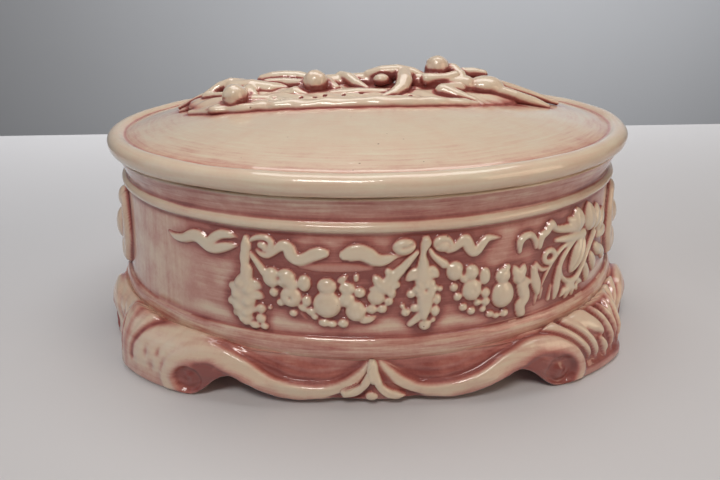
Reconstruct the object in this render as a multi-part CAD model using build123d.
"""Oval porcelain trinket box on four scroll feet, with a loose lid that carries three reclining cherubs.

Millimetres. Z is up, X runs along the oval and the front faces -Y. The origin is the middle of the
outline at table height. Every ring of the box is an oval of one family: its half width is a fixed step
less than its half length, so the wall, the mouldings and the lid stay parallel in plan.
"""
from build123d import *
import math
import os

# Driving dimensions: ovals are given by their half length
LID_LENGTH = 180.0
LID_WIDTH = 133.0
OVAL_STEP = (LID_LENGTH - LID_WIDTH) / 2

# Vessel
UNDERSIDE = 13.0
FLOOR_TOP = 19.0
FLOOR_COVE = 4.0
MOUTH_HEIGHT = 62.6
MOUTH_INNER = 81.4
BELLY_INNER = 83.6
NECK_HEIGHT = 54.0
LOWER_BEAD = {"inner": 90.6, "outer": 92.8, "height": 17.2, "rise": 4.0}
UPPER_BEAD = {"inner": 86.3, "outer": 87.7, "height": 53.6, "rise": 1.6}
COLLAR_RINGS = [(86.0, 56.6), (86.6, 59.2), (87.6, 61.9), (86.8, MOUTH_HEIGHT)]

# Lid
LID_SEAT = 62.9
RIM_TUBE = 3.2
DOME_EDGE = 83.9
DOME_EDGE_HEIGHT = 68.2
DOME_RISE = 10.0
LID_WALL = 4.5
RING_OUTER = 80.4
RING_INNER = 76.6
RING_BOTTOM = 58.0

# Apron and feet, in plan one rounded rectangle
BASE_LENGTH = 193.0
BASE_WIDTH = 142.0
BASE_POWER = 2.8
CORNER_TUCK = {"depth": 4.2, "at": 29.0, "front_reach": 5.2, "end_reach": 12.5}
APRON_WALL = 8.0
APRON_BOTTOM = 1.0
APRON_TOP = 16.0
APRON_FACE = [(0.0, APRON_BOTTOM), (0.0, 8.0), (2.0, 12.0), (3.5, APRON_TOP)]
FOOT_WALL = 20.0
FOOT_SHOULDER = [(-0.8, 0.0), (-0.5, 3.0), (0.0, 8.0), (1.5, 13.0), (4.0, 16.5), (7.8, 18.4), (14.5, 19.0)]
ARCH_HEIGHT = 8.4
FRONT_ARCH_X = 41.5
FRONT_ARCH_HALF = 12.0
END_ARCH_Y = 18.5
END_ARCH_HALF = 9.0
VOLUTE_RADIUS = 8.6
VOLUTE_RIM = 2.4
VOLUTE_EYE = 3.8
VOLUTE_DEPTH = 6.0
VOLUTE_PROUD = 1.3
VOLUTE_RECESS = 1.2
FRONT_VOLUTE_X = 55.5
END_VOLUTE_Y = 30.5

# Raised ornament
FRUIT_RELIEF = 2.2
LEAF_RELIEF = 1.3
SPRIG_REACH = 20.0

# Cloud bank on the lid: half length, half width and height of its rings, and where its middle is along X
BANK_RINGS = [(57.0, 20.5, 70.0), (56.0, 20.0, 74.5), (50.0, 18.0, 77.5), (38.0, 14.0, 79.6), (24.0, 9.0, 80.6)]
BANK_MIDDLE = -4.0

OUTLINE_POINTS = 72
ARC_STEPS = 720
DOME_SHARES = (1.0, 0.93, 0.85, 0.75, 0.62, 0.48, 0.33, 0.16)
LARGE = 300.0

os.makedirs("parts", exist_ok=True)


# ---------------------------------------------------------------- ovals and outlines


def ellipse_stack(rings):
    """Solid whose outline runs straight from ring to ring of (half length, half width, height)."""
    return loft([Pos(0, 0, z) * Ellipse(x, y) for x, y, z in rings], ruled=True)


def oval_stack(rings):
    """Solid through rings of the box's own ovals, each given as (half length, height)."""
    return ellipse_stack([(half_length, half_length - OVAL_STEP, z) for half_length, z in rings])


def bead_rings(inner, outer, height, rise, steps=6):
    """Rings of a half-round moulding, from its lower edge to its upper edge."""
    angles = [-math.pi / 2 + math.pi * i / steps for i in range(steps + 1)]
    return [(inner + (outer - inner) * math.cos(a), height + rise * math.sin(a)) for a in angles]


def wall_radius(height):
    """Half length of the leaning frieze wall, between the two beads."""
    low = LOWER_BEAD["height"] + LOWER_BEAD["rise"]
    high = UPPER_BEAD["height"] - UPPER_BEAD["rise"]
    share = (height - low) / (high - low)
    return LOWER_BEAD["inner"] + (UPPER_BEAD["inner"] - LOWER_BEAD["inner"]) * share


def corner_tuck(angle):
    """How far the corners of the base plan are flattened towards the ends, at one angle round it."""
    off = math.degrees(math.atan2(abs(math.sin(angle)), abs(math.cos(angle)))) - CORNER_TUCK["at"]
    reach = CORNER_TUCK["front_reach"] if off > 0 else CORNER_TUCK["end_reach"]
    return CORNER_TUCK["depth"] * math.exp(-(off / reach) ** 2)


def base_point(angle, inset):
    """Point of the base plan, a superellipse with tucked corners, moved in by `inset`."""
    inset += corner_tuck(angle)
    x = abs(math.cos(angle)) ** (2 / BASE_POWER) * (BASE_LENGTH / 2 - inset)
    y = abs(math.sin(angle)) ** (2 / BASE_POWER) * (BASE_WIDTH / 2 - inset)
    return math.copysign(x, math.cos(angle)), math.copysign(y, math.sin(angle))


def base_stack(insets):
    """Solid of the base plan, moved in by each (inset, height)."""
    rings = []
    for inset, height in insets:
        angles = [2 * math.pi * (i + 0.5) / OUTLINE_POINTS for i in range(OUTLINE_POINTS)]
        points = [(*base_point(a, inset), height) for a in angles]
        rings.append(make_face(Spline(*points, periodic=True)))
    return loft(rings, ruled=True)


def arc_table(half_length):
    """Rows of (arc length, angle) round an oval, from the middle of the front."""
    half_width = half_length - OVAL_STEP
    step = 2 * math.pi / ARC_STEPS
    rows = [(0.0, -math.pi / 2)]
    for i in range(ARC_STEPS):
        middle = -math.pi / 2 + (i + 0.5) * step
        length = math.hypot(half_length * math.sin(middle), half_width * math.cos(middle)) * step
        rows.append((rows[-1][0] + length, middle + step / 2))
    return rows


ARCS = arc_table(wall_radius((LOWER_BEAD["height"] + UPPER_BEAD["height"]) / 2))
PERIMETER = ARCS[-1][0]
END_TIP = PERIMETER / 4


def wall_plane(along, height):
    """Plane on the frieze wall, X along it, Y up it, Z outwards; `along` starts at mid-front."""
    angle = min(ARCS, key=lambda row: abs(row[0] - along % PERIMETER))[1]
    half_length = wall_radius(height)
    half_width = half_length - OVAL_STEP
    point = Vector(half_length * math.cos(angle), half_width * math.sin(angle), height)
    outward = Vector(math.cos(angle) / half_length, math.sin(angle) / half_width, 0).normalized()
    return Plane(origin=point, x_dir=Vector(-outward.Y, outward.X, 0), z_dir=outward)


def half_turn(shape):
    """The same shape on the other side of the box."""
    return Rot(0, 0, 180) * shape


# ---------------------------------------------------------------- box body


def make_vessel_outside():
    rings = [(88.6, UNDERSIDE)]
    rings += bead_rings(**LOWER_BEAD)
    rings += bead_rings(**UPPER_BEAD)
    return oval_stack(rings + COLLAR_RINGS)


def make_vessel_inside():
    return oval_stack([
        (BELLY_INNER - FLOOR_COVE, FLOOR_TOP),
        (BELLY_INNER, FLOOR_TOP + FLOOR_COVE),
        (MOUTH_INNER, NECK_HEIGHT),
        (MOUTH_INNER, MOUTH_HEIGHT + 1),
    ])


def arches(plane, middle, half_width):
    """Pair of humps cut right through the base, either side of its middle."""
    hump = Ellipse(half_width, ARCH_HEIGHT)
    return [extrude(plane * Pos(side * middle, 0) * hump, LARGE, both=True) for side in (-1, 1)]


def make_aprons(vessel_outside):
    """Four stretches of skirt between the feet: front, right, back, left."""
    skirt = base_stack(apron_rings(0.0))
    skirt -= base_stack([(APRON_WALL, APRON_BOTTOM - 1), (APRON_WALL, APRON_TOP + 1)])
    skirt -= vessel_outside
    front = skirt & Pos(0, -LARGE / 2, 0) * Box(2 * FRONT_ARCH_X, LARGE, LARGE)
    right = skirt & Pos(LARGE / 2, 0, 0) * Box(LARGE, 2 * END_ARCH_Y, LARGE)
    for cutter in arches(Plane.XZ, FRONT_ARCH_X, FRONT_ARCH_HALF):
        front -= cutter
    for cutter in arches(Plane.YZ, END_ARCH_Y, END_ARCH_HALF):
        right -= cutter
    return {"front": front, "right": right, "back": half_turn(front), "left": half_turn(right)}


def volute(outline_angle):
    """Scroll disc set into the foot's face at one place on the base plan: plate, rim and eye."""
    x, y = base_point(outline_angle, 0.0)
    ahead = base_point(outline_angle + 0.01, 0.0)
    along = Vector(ahead[0] - x, ahead[1] - y, 0).normalized()
    face = Plane(origin=(x, y, VOLUTE_RADIUS), x_dir=along, z_dir=along.cross(Vector(0, 0, 1)))
    ring = Circle(VOLUTE_RADIUS) - Circle(VOLUTE_RADIUS - VOLUTE_RIM) + Circle(VOLUTE_EYE)
    disc = extrude(face.offset(VOLUTE_PROUD) * ring, -VOLUTE_DEPTH)
    disc += extrude(face.offset(VOLUTE_PROUD - VOLUTE_RECESS) * Circle(VOLUTE_RADIUS), -VOLUTE_DEPTH)
    return disc


def make_foot(vessel_outside):
    """Front right foot: a corner bracket with a scroll at each end."""
    foot = base_stack(FOOT_SHOULDER)
    foot -= base_stack([(FOOT_WALL, -1.0), (FOOT_WALL, FOOT_SHOULDER[-1][1] + 1)])
    foot &= Pos(FRONT_ARCH_X + LARGE / 2, -END_ARCH_Y - LARGE / 2, 0) * Box(LARGE, LARGE, LARGE)
    foot -= arches(Plane.XZ, FRONT_ARCH_X, FRONT_ARCH_HALF)[1]
    foot -= arches(Plane.YZ, END_ARCH_Y, END_ARCH_HALF)[0]
    foot += volute(-math.acos((FRONT_VOLUTE_X * 2 / BASE_LENGTH) ** (BASE_POWER / 2)))
    foot += volute(-math.asin((END_VOLUTE_Y * 2 / BASE_WIDTH) ** (BASE_POWER / 2)))
    return foot - vessel_outside


def leaf_shape(x, y, length, width, lean):
    """Pointed-oval leaf, its foot at (x, y), leaning from upright by `lean` degrees."""
    return Pos(x, y) * Rot(0, 0, lean) * Pos(0, length / 2) * Ellipse(width / 2, length / 2)


def split_leaf():
    """Flat shape of the split leaf at an apron's middle."""
    fan = sum((leaf_shape(0, 11.5, 10.5, 3.4, lean) for lean in (125, 155, -155, -125)), Sketch())
    return fan + leaf_shape(0, 12.0, 10.5, 2.8, 180)


def apron_rings(proud):
    """Insets of the skirt's face, moved out by `proud`."""
    return [(inset - proud, height) for inset, height in APRON_FACE]


def make_apron_leaf(plane):
    """Split leaf lying on the apron that `plane` faces."""
    prism = extrude(plane * split_leaf(), LARGE)
    return (prism & base_stack(apron_rings(LEAF_RELIEF))) - base_stack(apron_rings(0.0))


# ---------------------------------------------------------------- ornament on the frieze wall


def berry(along, height, radius):
    return Pos(along, height) * Circle(radius)


def fruit(along, height, half_width, half_height):
    return Pos(along, height) * Ellipse(half_width, half_height)


def strip(points, width):
    """Flat strip of even width along a chain of points, with round joints."""
    shape = Sketch()
    for (x0, y0), (x1, y1) in zip(points, points[1:]):
        length = math.hypot(x1 - x0, y1 - y0)
        lean = math.degrees(math.atan2(y1 - y0, x1 - x0))
        shape += Pos((x0 + x1) / 2, (y0 + y1) / 2) * Rot(0, 0, lean) * Rectangle(length, width)
        shape += berry(x1, y1, width / 2)
    return shape


def wave(start, end, height, swing, waves, steps_per_wave=6):
    """Points of a ribbon's centre line."""
    count = int(waves * steps_per_wave)
    shares = [i / count for i in range(count + 1)]
    return [(start + (end - start) * t, height + swing * math.sin(2 * math.pi * waves * t)) for t in shares]


def ribbon_tail():
    forked_end = strip([(-67.0, 43.2), (-62.5, 45.8), (-66.0, 48.3)], 2.2)
    return strip(wave(-62.5, -40.0, 46.2, 1.5, 1.5), 2.8) + forked_end


def ribbon_middle():
    return strip(wave(-33.0, 9.5, 46.4, 1.3, 2.5), 3.0)


def ribbon_end():
    return strip(wave(18.5, 40.0, 46.6, 1.3, 1.5), 2.8)


def fruit_drop(middle, top, bottom, reach):
    """Knot with a bunch of fruit and leaves that tapers down from it."""
    shape = berry(middle, top - 1.5, 2.0) + strip([(middle, top - 2), (middle, bottom + 4)], 2.4)
    rows = 4
    for row in range(rows):
        share = row / (rows - 1)
        height = top - 8.5 - (top - bottom - 12) * share
        side = reach * (0.55 + 0.45 * math.sin(math.pi * (0.25 + 0.5 * share))) * (1 - 0.35 * share)
        shape += berry(middle, height, 0.62 * reach)
        shape += berry(middle - side, height - 1, 0.3 * reach) + berry(middle + side, height - 1, 0.3 * reach)
    return shape + berry(middle, bottom + 1.8, 1.7)


def fruit_garland_left():
    fruits = [(-28.0, 39.0, 3.6, 3.6), (-23.7, 33.5, 3.9, 3.9), (-19.7, 37.7, 2.6, 3.2), (-13.4, 32.7, 3.9, 5.8),
              (-7.8, 36.4, 3.3, 3.3), (-5.0, 30.2, 3.2, 3.2), (-2.6, 34.6, 2.8, 2.8)]
    berries = [(-28.8, 34.4), (-19.0, 32.2), (-23.0, 28.4), (-1.0, 30.6), (3.4, 33.0), (1.4, 36.8)]
    shape = sum((fruit(*row) for row in fruits), Sketch())
    shape += sum((berry(x, y, 1.5) for x, y in berries), Sketch())
    shape += leaf_shape(-13.4, 29.0, 6.0, 3.6, 155) + leaf_shape(-8.5, 30.0, 5.5, 3.6, 190)
    shape += leaf_shape(-3.5, 30.0, 6.0, 3.4, 215) + leaf_shape(1.0, 35.0, 6.5, 3.6, -40)
    shape += strip([(-29.5, 41.0), (-34.0, 45.5)], 1.6) + strip([(4.0, 39.0), (10.0, 44.5)], 1.6)
    return shape


def fruit_garland_right():
    fruits = [(25.1, 38.6, 3.4, 3.4), (27.4, 34.1, 3.6, 3.6), (31.6, 38.0, 2.6, 3.2), (37.0, 33.4, 3.6, 6.4),
              (31.0, 31.0, 2.4, 2.4)]
    shape = sum((fruit(*row) for row in fruits), Sketch())
    shape += sum((berry(x, y, 1.5) for x, y in [(22.6, 34.6), (27.0, 29.4), (34.5, 26.6)]), Sketch())
    shape += leaf_shape(39.5, 32.0, 9.0, 4.4, -75) + leaf_shape(40.0, 28.5, 8.0, 4.0, -105)
    shape += leaf_shape(44.0, 31.0, 8.0, 4.2, -60) + strip([(23.5, 41.0), (18.0, 45.5)], 1.6)
    return shape


def palmette():
    """Fan of tall leaves over a lyre-shaped loop and a hanging flower."""
    middle = 66.0
    shape = sum((leaf_shape(middle, 35.0, 14.5 - abs(lean) / 16, 4.0, lean)
                 for lean in (-64, -40, -18, 4, 26, 48)), Sketch())
    shape += fruit(middle, 31.5, 8.6, 6.5) - fruit(middle, 32.0, 5.6, 3.8) + strip([(middle, 26), (middle, 37)], 2.4)
    shape += sum((leaf_shape(middle, 28.0, 7.0, 2.8, lean) for lean in (140, 165, -165, -140)), Sketch())
    return shape


def end_festoon():
    """Leafy swag hung across the end of the box, in places counted from the end's own middle."""
    leaves = 11
    shape = Sketch()
    for i in range(leaves):
        share = 2 * i / (leaves - 1) - 1
        x = 25.0 * share
        y = 29.0 + 17.0 * share ** 2
        shape += leaf_shape(x, y, 7.0, 4.4, -60 * share + 150) + leaf_shape(x, y, 6.0, 3.6, -60 * share - 150)
        shape += berry(x, y, 2.6)
    return shape


def sprig(shape, relief, vessel_outside, middle):
    """Clay ornament of the given flat shape, laid on the wall to an even thickness."""
    low = LOWER_BEAD["height"] + LOWER_BEAD["rise"] + 0.1
    high = UPPER_BEAD["height"] - UPPER_BEAD["rise"] - 0.1
    band = oval_stack([(wall_radius(low) + relief, low), (wall_radius(high) + relief, high)])
    mid_height = (low + high) / 2
    local = Pos(-middle, -mid_height) * shape
    prism = extrude(wall_plane(middle, mid_height) * local, SPRIG_REACH, both=True)
    return (prism & band) - vessel_outside


def make_sprigs(vessel_outside):
    rows = {
        "ribbon_tail": (ribbon_tail(), LEAF_RELIEF, -53.0),
        "ribbon_middle": (ribbon_middle(), LEAF_RELIEF, -12.0),
        "ribbon_end": (ribbon_end(), LEAF_RELIEF, 29.0),
        "fruit_drop_left": (fruit_drop(-36.7, 50.5, 21.4, 5.2), FRUIT_RELIEF, -36.7),
        "fruit_drop_right": (fruit_drop(14.1, 51.0, 22.4, 5.4), FRUIT_RELIEF, 14.1),
        "fruit_garland_left": (fruit_garland_left(), FRUIT_RELIEF, -12.0),
        "fruit_garland_right": (fruit_garland_right(), FRUIT_RELIEF, 33.0),
        "palmette": (palmette(), FRUIT_RELIEF, 66.0),
    }
    sprigs = {}
    laid = Part()
    for name, (shape, relief, middle) in rows.items():
        front = sprig(shape, relief, vessel_outside, middle) - laid
        laid += front
        sprigs[name + "_front"] = front
        sprigs[name + "_back"] = half_turn(front)
    end = sprig(Pos(END_TIP, 0) * end_festoon(), FRUIT_RELIEF, vessel_outside, END_TIP)
    sprigs["end_festoon_right"] = end
    sprigs["end_festoon_left"] = half_turn(end)
    return sprigs


# ---------------------------------------------------------------- lid body


def dome_height(share):
    """Height of the dome's top face at a share of the way from its middle to its edge."""
    return DOME_EDGE_HEIGHT + DOME_RISE * (1 - share ** 2)


def make_lid_outside():
    tube_middle = LID_LENGTH / 2 - RIM_TUBE
    tube_height = LID_SEAT + RIM_TUBE
    angles = [math.radians(degrees) for degrees in range(-90, 136, 25)]
    rings = [(tube_middle + RIM_TUBE * math.cos(a), tube_height + RIM_TUBE * math.sin(a)) for a in angles]
    rings = [(a, a - OVAL_STEP, z) for a, z in rings]
    rings += [(DOME_EDGE * s, (DOME_EDGE - OVAL_STEP) * s, dome_height(s)) for s in DOME_SHARES]
    return ellipse_stack(rings)


def make_lid_inside():
    inner = RING_OUTER + 0.6
    rings = [(inner, inner - OVAL_STEP, LID_SEAT - 1)]
    rings += [(inner * s, (inner - OVAL_STEP) * s, dome_height(s) - LID_WALL) for s in DOME_SHARES]
    return ellipse_stack(rings)


def make_locating_ring(lid_dome):
    top = DOME_EDGE_HEIGHT
    ring = oval_stack([(RING_OUTER - 0.8, RING_BOTTOM), (RING_OUTER, RING_BOTTOM + 1.2), (RING_OUTER, top)])
    ring -= oval_stack([(RING_INNER, RING_BOTTOM - 1), (RING_INNER, top + 1)])
    return ring - lid_dome


def limb(start, end, start_radius, end_radius):
    """Round limb between two points, thicker or thinner towards its end."""
    a = Vector(*start)
    b = Vector(*end)
    cone = Cone(start_radius, end_radius, (b - a).length)
    between = Plane(origin=(a + b) / 2, z_dir=b - a)
    return Pos(*start) * Sphere(start_radius) + between * cone + Pos(*end) * Sphere(end_radius)


# Rows of (start, end, start radius, end radius)
CHERUBS = {
    "cherub_left": [
        ((-46.0, 1.0, 80.0), (-33.5, -3.0, 79.6), 4.2, 3.8),
        ((-44.1, -10.6, 78.0), (-44.5, -2.0, 79.2), 4.4, 4.0),
        ((-42.0, -9.0, 78.0), (-29.4, -9.6, 77.9), 3.2, 2.5),
        ((-48.0, 0.0, 78.6), (-61.0, 1.0, 74.4), 3.0, 1.8),
    ],
    "cherub_middle": [
        ((-34.5, 4.0, 80.4), (-21.0, 4.0, 81.0), 3.8, 4.0),
        ((-27.0, -7.6, 77.6), (-18.0, -6.0, 78.4), 3.2, 3.4),
        ((-17.6, -5.4, 81.6), (-18.6, 2.0, 81.0), 4.2, 4.0),
        ((-21.0, 4.0, 81.0), (-6.0, 1.0, 81.0), 4.0, 3.8),
        ((-6.0, 1.0, 81.0), (11.5, 0.0, 83.4), 3.8, 3.6),
        ((12.0, -2.0, 83.4), (9.4, -10.4, 79.2), 3.4, 2.8),
    ],
    "cherub_right": [
        ((18.6, 0.0, 82.2), (27.0, -2.0, 81.4), 3.0, 3.8),
        ((24.6, 1.6, 84.8), (27.0, 0.0, 81.4), 4.0, 3.6),
        ((24.6, 1.6, 84.8), (30.8, 2.6, 84.0), 4.0, 2.6),
        ((27.0, -2.0, 81.4), (41.0, -2.0, 79.4), 3.8, 4.2),
        ((41.0, -4.0, 79.2), (25.0, -9.6, 79.0), 4.0, 3.2),
        ((25.0, -9.6, 79.0), (35.4, -12.0, 76.4), 3.2, 2.6),
        ((44.0, -3.0, 78.2), (60.5, -4.6, 73.6), 3.2, 1.8),
        ((42.0, 0.0, 79.0), (66.0, 2.0, 73.8), 3.2, 1.8),
    ],
}


def make_figures(lid_outside):
    """Cloud bank and the three cherubs that lie on it, each cut back where it meets the one before."""
    bank = Pos(BANK_MIDDLE, 0, 0) * ellipse_stack(BANK_RINGS)
    figures = {"cloud_bank": bank - lid_outside}
    taken = lid_outside + bank
    for name, limbs in CHERUBS.items():
        body = sum((limb(*row) for row in limbs), Part())
        figures[name] = body - taken
        taken += body
    return figures


# ---------------------------------------------------------------- build


vessel_outside = make_vessel_outside()
nodes = {"vessel": vessel_outside - make_vessel_inside()}

aprons = make_aprons(vessel_outside)
for place, apron in aprons.items():
    nodes["apron_" + place] = apron
leaf = make_apron_leaf(Plane.XZ)
end_leaf = make_apron_leaf(Plane.YZ)
nodes["apron_leaf_front"] = leaf
nodes["apron_leaf_back"] = half_turn(leaf)
nodes["apron_leaf_right"] = end_leaf
nodes["apron_leaf_left"] = half_turn(end_leaf)

front_right = make_foot(vessel_outside)
front_left = mirror(front_right, about=Plane.YZ)
nodes["scroll_foot_front_right"] = front_right
nodes["scroll_foot_front_left"] = front_left
nodes["scroll_foot_back_left"] = half_turn(front_right)
nodes["scroll_foot_back_right"] = half_turn(front_left)

nodes.update(make_sprigs(vessel_outside))

lid_outside = make_lid_outside()
lid_dome = lid_outside - make_lid_inside()
nodes["lid_dome"] = lid_dome
nodes["lid_locating_ring"] = make_locating_ring(lid_dome)
nodes.update(make_figures(lid_outside))

for name, shape in nodes.items():
    export_step(shape, f"parts/{name}.step")
